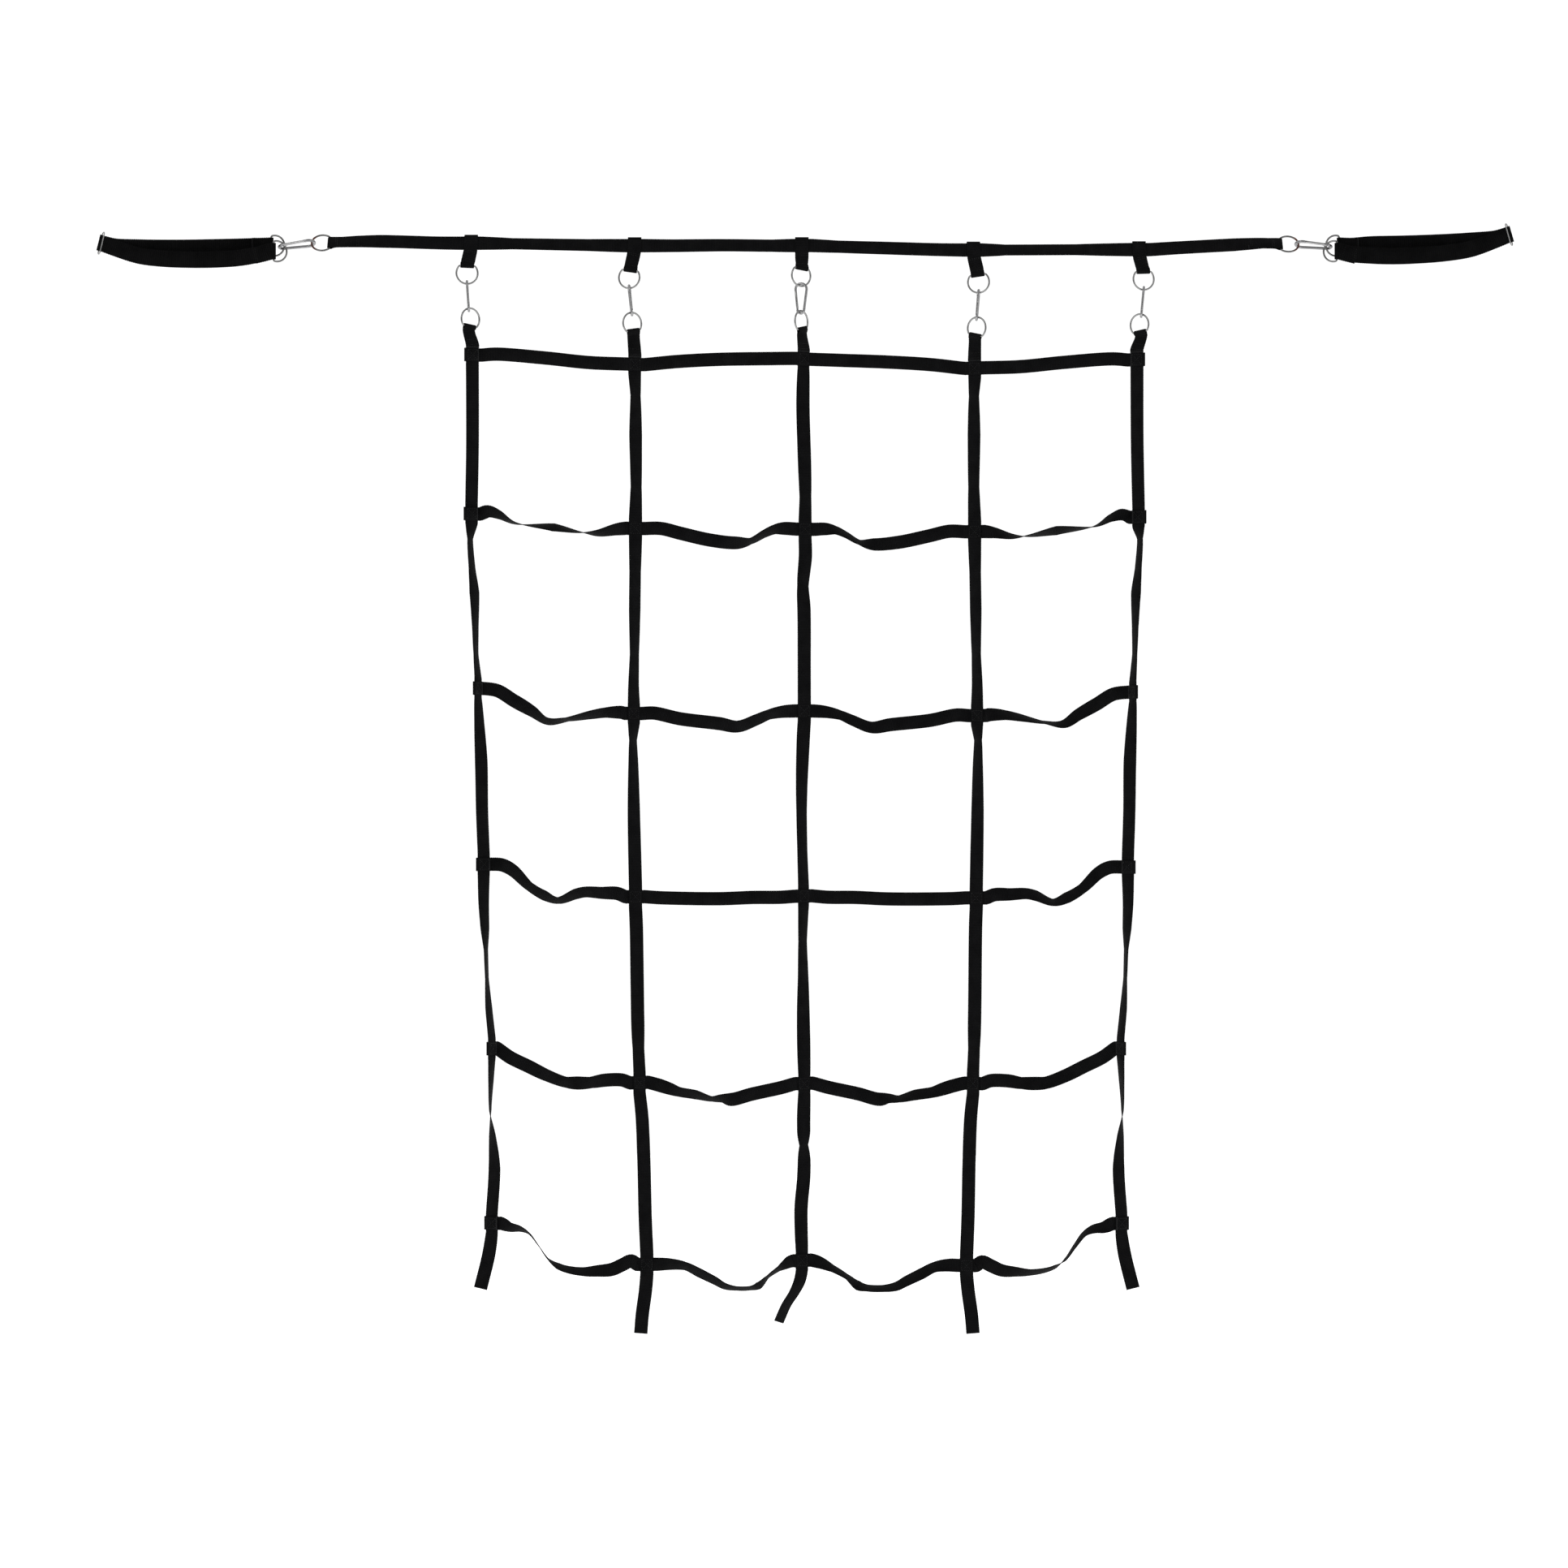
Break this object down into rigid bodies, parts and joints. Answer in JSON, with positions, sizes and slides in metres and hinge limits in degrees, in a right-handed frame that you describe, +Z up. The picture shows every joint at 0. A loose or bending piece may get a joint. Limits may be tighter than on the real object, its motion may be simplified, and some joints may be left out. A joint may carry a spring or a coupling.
{
  "type": "climbing net",
  "caption": "Hung climbing net of black webbing straps sewn in a grid, clipped by snap hooks and rings below a webbing header with a folded anchor strap at each end.",
  "frame": {"origin": "middle of the header strap, on its centre line, where the net is hung from", "axes": "+X along the header to the right seen from the front, +Y from the front to the back, +Z up"},
  "size_m": [2.6202, 0.0511, 2.0531],
  "materials": {
    "net_webbing": "black ribbed webbing, dull with a faint sheen",
    "anchor_webbing": "black webbing with coarse cross ribs",
    "ring_wire": "zinc-plated wire, satin grey",
    "keeper_wire": "zinc-plated wire, bright",
    "hook_wire": "zinc-plated wire, satin with soft highlights",
    "gate_bar": "zinc-plated bar, satin"
  },
  "bodies": {
    "net": {"header_strap": "net_webbing", "hanger_tab_1": "net_webbing", "hanger_tab_2": "net_webbing", "hanger_tab_3": "net_webbing", "hanger_tab_4": "net_webbing", "hanger_tab_5": "net_webbing", "rail_1": "net_webbing", "rail_2": "net_webbing", "rail_3": "net_webbing", "rail_4": "net_webbing", "rail_5": "net_webbing", "rung_1": "net_webbing", "rung_2": "net_webbing", "rung_3": "net_webbing", "rung_4": "net_webbing", "rung_5": "net_webbing", "rung_6": "net_webbing", "anchor_strap_left": "anchor_webbing", "anchor_strap_right": "anchor_webbing", "upper_ring_1": "ring_wire", "upper_ring_2": "ring_wire", "upper_ring_3": "ring_wire", "upper_ring_4": "ring_wire", "upper_ring_5": "ring_wire", "lower_ring_1": "ring_wire", "lower_ring_2": "ring_wire", "lower_ring_3": "ring_wire", "lower_ring_4": "ring_wire", "lower_ring_5": "ring_wire", "header_ring_left": "ring_wire", "header_ring_right": "ring_wire", "anchor_ring_left_back": "ring_wire", "anchor_ring_left_front": "ring_wire", "anchor_ring_right_back": "ring_wire", "anchor_ring_right_front": "ring_wire", "keeper_left": "keeper_wire", "keeper_right": "keeper_wire", "hook_1": "hook_wire", "hook_2": "hook_wire", "hook_3": "hook_wire", "hook_4": "hook_wire", "hook_5": "hook_wire", "end_hook_left": "hook_wire", "end_hook_right": "hook_wire"},
    "gate_1": {"gate_1": "gate_bar"},
    "gate_2": {"gate_2": "gate_bar"},
    "gate_3": {"gate_3": "gate_bar"},
    "gate_4": {"gate_4": "gate_bar"},
    "gate_5": {"gate_5": "gate_bar"},
    "end_gate_left": {"end_gate_left": "gate_bar"},
    "end_gate_right": {"end_gate_right": "gate_bar"}
  },
  "joints": [
    {"name": "gate_1_hinge", "type": "hinge", "parent": "net", "child": "gate_1", "pos_m": [-0.62161, -0.00662, -0.11024], "axis": [-0.9954, -0.0696, -0.0661], "range_deg": [0, 20], "stiffness_Nm_per_rad": 0.08, "springref_deg": -17.19},
    {"name": "gate_2_hinge", "type": "hinge", "parent": "net", "child": "gate_2", "pos_m": [-0.32021, -0.00605, -0.11801], "axis": [-0.9893, -0.104, -0.1022], "range_deg": [0, 20], "stiffness_Nm_per_rad": 0.08, "springref_deg": -17.19},
    {"name": "gate_3_hinge", "type": "hinge", "parent": "net", "child": "gate_3", "pos_m": [-0.01437, 0.00062, -0.11457], "axis": [0.2079, 0.9781, -0.0033], "range_deg": [0, 20], "stiffness_Nm_per_rad": 0.08, "springref_deg": -17.19},
    {"name": "gate_4_hinge", "type": "hinge", "parent": "net", "child": "gate_4", "pos_m": [0.31682, -0.00689, -0.12669], "axis": [-0.9916, 0.1042, 0.0763], "range_deg": [0, 20], "stiffness_Nm_per_rad": 0.08, "springref_deg": -17.19},
    {"name": "gate_5_hinge", "type": "hinge", "parent": "net", "child": "gate_5", "pos_m": [0.62158, -0.0064, -0.12103], "axis": [-0.9935, 0.0695, 0.0904], "range_deg": [0, 20], "stiffness_Nm_per_rad": 0.08, "springref_deg": -17.19},
    {"name": "end_gate_left_hinge", "type": "hinge", "parent": "net", "child": "end_gate_left", "pos_m": [-0.96027, -0.0056, 0.002], "axis": [-0.1279, 0.3065, 0.9432], "range_deg": [0, 20], "stiffness_Nm_per_rad": 0.08, "springref_deg": -17.19},
    {"name": "end_gate_right_hinge", "type": "hinge", "parent": "net", "child": "end_gate_right", "pos_m": [0.96039, -0.0056, 0.00188], "axis": [-0.087, -0.3078, -0.9474], "range_deg": [0, 20], "stiffness_Nm_per_rad": 0.08, "springref_deg": -17.19}
  ]
}
